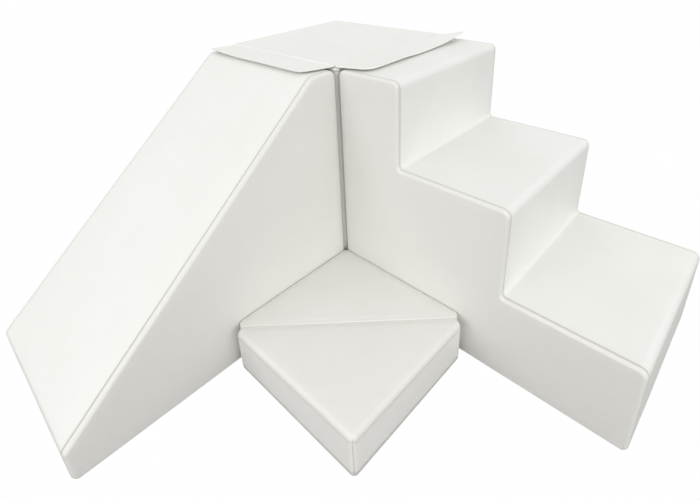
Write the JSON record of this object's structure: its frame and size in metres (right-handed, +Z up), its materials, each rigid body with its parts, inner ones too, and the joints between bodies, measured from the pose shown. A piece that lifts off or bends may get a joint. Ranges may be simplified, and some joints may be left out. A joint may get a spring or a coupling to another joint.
{
  "type": "soft play foam climber",
  "caption": "Corner climbing set of leatherette-covered foam: raised corner block, slide wedge, stepped block and a folding corner mat.",
  "frame": {"origin": "middle of the set's footprint, on the floor", "axes": "+Z up; the slide comes down towards -Y at the left, the stairs go down towards +X at the back, and the mat lies in the corner between them"},
  "size_m": [0.942, 0.96, 0.5163],
  "materials": {
    "leatherette_top": "satin",
    "leatherette_side": "satin",
    "leatherette_base": "matte",
    "foam": "matte",
    "hook_and_loop": "matte",
    "zip_tape": "matte",
    "zip_metal": "satin"
  },
  "bodies": {
    "corner_block": {"corner_foam_core": "foam", "corner_side_band": "leatherette_side", "corner_top_panel": "leatherette_top", "corner_base_panel": "leatherette_base", "corner_top_sheet": "leatherette_top", "corner_zip_chain": "zip_tape"},
    "corner_slider": {"corner_zip_slider": "zip_metal"},
    "slide_top_flap": {"slide_flap": "leatherette_top", "slide_loop_strip": "hook_and_loop"},
    "stairs_top_flap": {"stairs_flap": "leatherette_top", "stairs_loop_strip": "hook_and_loop"},
    "slide_block": {"slide_foam_core": "foam", "slide_outer_side_panel": "leatherette_side", "slide_inner_side_panel": "leatherette_side", "slide_running_panel": "leatherette_top", "slide_base_panel": "leatherette_base", "slide_hook_strip": "hook_and_loop", "slide_zip_chain": "zip_tape"},
    "slide_slider": {"slide_zip_slider": "zip_metal"},
    "stairs_block": {"stairs_foam_slab_1": "foam", "stairs_foam_slab_2": "foam", "stairs_foam_slab_3": "foam", "stairs_inner_side_panel": "leatherette_side", "stairs_back_side_panel": "leatherette_side", "stairs_running_panel": "leatherette_top", "stairs_base_panel": "leatherette_base", "stairs_hook_strip": "hook_and_loop", "stairs_zip_chain": "zip_tape"},
    "stairs_slider": {"stairs_zip_slider": "zip_metal"},
    "back_pad": {"back_pad_foam_core": "foam", "back_pad_side_band": "leatherette_side", "back_pad_top_panel": "leatherette_top", "back_pad_base_panel": "leatherette_base", "back_pad_zip_chain": "zip_tape", "mat_hinge_strip": "leatherette_top"},
    "back_pad_slider": {"back_pad_zip_slider": "zip_metal"},
    "front_pad": {"front_pad_foam_core": "foam", "front_pad_side_band": "leatherette_side", "front_pad_top_panel": "leatherette_top", "front_pad_base_panel": "leatherette_base", "front_pad_zip_chain": "zip_tape"},
    "front_pad_slider": {"front_pad_zip_slider": "zip_metal"}
  },
  "joints": [
    {"name": "slide_flap_lift", "type": "hinge", "parent": "corner_block", "child": "slide_top_flap", "pos_m": [-0.2935, 0.125, 0.51645], "axis": [-1, 0, 0], "range_deg": [0, 175]},
    {"name": "stairs_flap_lift", "type": "hinge", "parent": "corner_block", "child": "stairs_top_flap", "pos_m": [-0.116, 0.3025, 0.51645], "axis": [0, -1, 0], "range_deg": [0, 150]},
    {"name": "slide_pull_apart", "type": "slide", "parent": "corner_block", "child": "slide_block", "axis": [0, -1, 0], "range_m": [0, 0.3]},
    {"name": "stairs_pull_apart", "type": "slide", "parent": "corner_block", "child": "stairs_block", "axis": [1, 0, 0], "range_m": [0, 0.3]},
    {"name": "mat_pull_out", "type": "slide", "parent": "corner_block", "child": "back_pad", "axis": [0.7071, -0.7071, 0], "range_m": [0, 0.25]},
    {"name": "mat_fold", "type": "hinge", "parent": "back_pad", "child": "front_pad", "pos_m": [0.039, -0.03, 0.0905], "axis": [-0.7071, -0.7071, 0], "range_deg": [0, 177]},
    {"name": "corner_zip_run", "type": "slide", "parent": "corner_block", "child": "corner_slider", "axis": [1, 0, 0], "range_m": [0, 0.28]},
    {"name": "slide_zip_run", "type": "slide", "parent": "slide_block", "child": "slide_slider", "axis": [0, 1, 0], "range_m": [0, 0.441]},
    {"name": "stairs_zip_run", "type": "slide", "parent": "stairs_block", "child": "stairs_slider", "axis": [1, 0, 0], "range_m": [0, 0.433]},
    {"name": "back_pad_zip_run", "type": "slide", "parent": "back_pad", "child": "back_pad_slider", "axis": [-0.7071, -0.7071, 0], "range_m": [0, 0.31]},
    {"name": "front_pad_zip_run", "type": "slide", "parent": "front_pad", "child": "front_pad_slider", "axis": [0.7071, 0.7071, 0], "range_m": [0, 0.31]}
  ]
}
